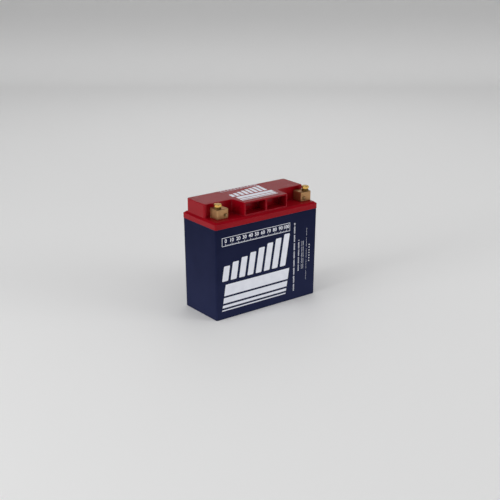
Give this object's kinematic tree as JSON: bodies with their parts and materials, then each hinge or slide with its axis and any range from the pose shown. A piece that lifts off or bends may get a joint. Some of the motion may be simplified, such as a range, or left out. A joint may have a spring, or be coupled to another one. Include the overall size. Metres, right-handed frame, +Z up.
{
  "type": "motorcycle battery",
  "caption": "Box-shaped sealed starter battery: tapered dark case, red moulded cover with a raised deck and open pockets, and brass block terminals with top bolts.",
  "frame": {"origin": "middle of the base, on the surface that the battery stands on", "axes": "+X along the battery towards the positive terminal, +Y to the back, away from the terminals, +Z up"},
  "size_m": [0.186, 0.082, 0.168],
  "materials": {
    "case_abs": "satin moulded, dark navy",
    "cover_abs": "semi-gloss moulded, deep red",
    "rim_adhesive": "cured bead",
    "terminal_brass": "machined, dull",
    "bolt_brass": "bright",
    "seal_rubber": "moulded",
    "plated_steel": "zinc plated",
    "tinned_copper": "tin plated copper",
    "red_silicone": "soft insulation",
    "black_silicone": "soft insulation",
    "cell_sleeve": "shrink sleeve on a steel can",
    "holder_abs": "moulded",
    "nickel": "rolled nickel",
    "insulation_board": "pressed fibre board",
    "circuit_board": "solder resist on glass laminate",
    "epoxy_package": "moulded epoxy",
    "heat_plate_aluminium": "sheet",
    "connector_nylon": "moulded",
    "flex_polyimide": "amber film",
    "black_foam": "closed-cell sheet"
  },
  "bodies": {
    "battery": {"back_cell_holder": "holder_abs", "back_insulation_sheet": "insulation_board", "board_frame": "holder_abs", "board_screws": "plated_steel", "bottom_foam_pad": "black_foam", "case": "case_abs", "cell_group_1": "cell_sleeve", "cell_group_2": "cell_sleeve", "cell_group_3": "cell_sleeve", "cell_group_4": "cell_sleeve", "cell_lead": "black_silicone", "control_chips": "epoxy_package", "cover": "cover_abs", "end_foam_block": "black_foam", "front_cell_holder": "holder_abs", "front_insulation_sheet": "insulation_board", "heat_plate": "heat_plate_aluminium", "link_strip_1_2": "nickel", "link_strip_2_3": "nickel", "link_strip_3_4": "nickel", "negative_end_strip": "nickel", "negative_inner_nut": "plated_steel", "negative_inner_washer": "plated_steel", "negative_lead": "black_silicone", "negative_seal_ring": "seal_rubber", "negative_terminal_block": "terminal_brass", "negative_terminal_lug": "tinned_copper", "positive_end_strip": "nickel", "positive_inner_nut": "plated_steel", "positive_inner_washer": "plated_steel", "positive_lead": "red_silicone", "positive_seal_ring": "seal_rubber", "positive_terminal_block": "terminal_brass", "positive_terminal_lug": "tinned_copper", "power_posts": "terminal_brass", "protection_board": "circuit_board", "rim_adhesive": "rim_adhesive", "sense_connector": "connector_nylon", "sense_flex": "flex_polyimide", "shunt_resistors": "epoxy_package", "switching_transistors": "epoxy_package", "tab_studs": "tinned_copper", "tie_rods": "plated_steel", "tie_screws": "plated_steel", "top_foam_block": "black_foam"},
    "negative_washer": {"negative_washer": "bolt_brass", "negative_spring_washer": "bolt_brass"},
    "negative_bolt": {"negative_bolt": "bolt_brass"},
    "positive_washer": {"positive_washer": "bolt_brass", "positive_spring_washer": "bolt_brass"},
    "positive_bolt": {"positive_bolt": "bolt_brass"}
  },
  "joints": [
    {"name": "negative_bolt_rise", "type": "slide", "parent": "battery", "child": "negative_washer", "axis": [0, 0, 1], "range_m": [0, 0.0106]},
    {"name": "negative_bolt_turn", "type": "hinge", "parent": "negative_washer", "child": "negative_bolt", "pos_m": [-0.0754, -0.0217, 0.164], "axis": [0, 0, 1], "range_deg": [0, 3840]},
    {"name": "positive_bolt_rise", "type": "slide", "parent": "battery", "child": "positive_washer", "axis": [0, 0, 1], "range_m": [0, 0.0106]},
    {"name": "positive_bolt_turn", "type": "hinge", "parent": "positive_washer", "child": "positive_bolt", "pos_m": [0.0846, -0.0217, 0.164], "axis": [0, 0, 1], "range_deg": [0, 3840]}
  ],
  "couplings": [
    {"joint": "negative_bolt_turn", "follows": "negative_bolt_rise", "rad_per_m": 6283.2},
    {"joint": "positive_bolt_turn", "follows": "positive_bolt_rise", "rad_per_m": 6283.2}
  ]
}
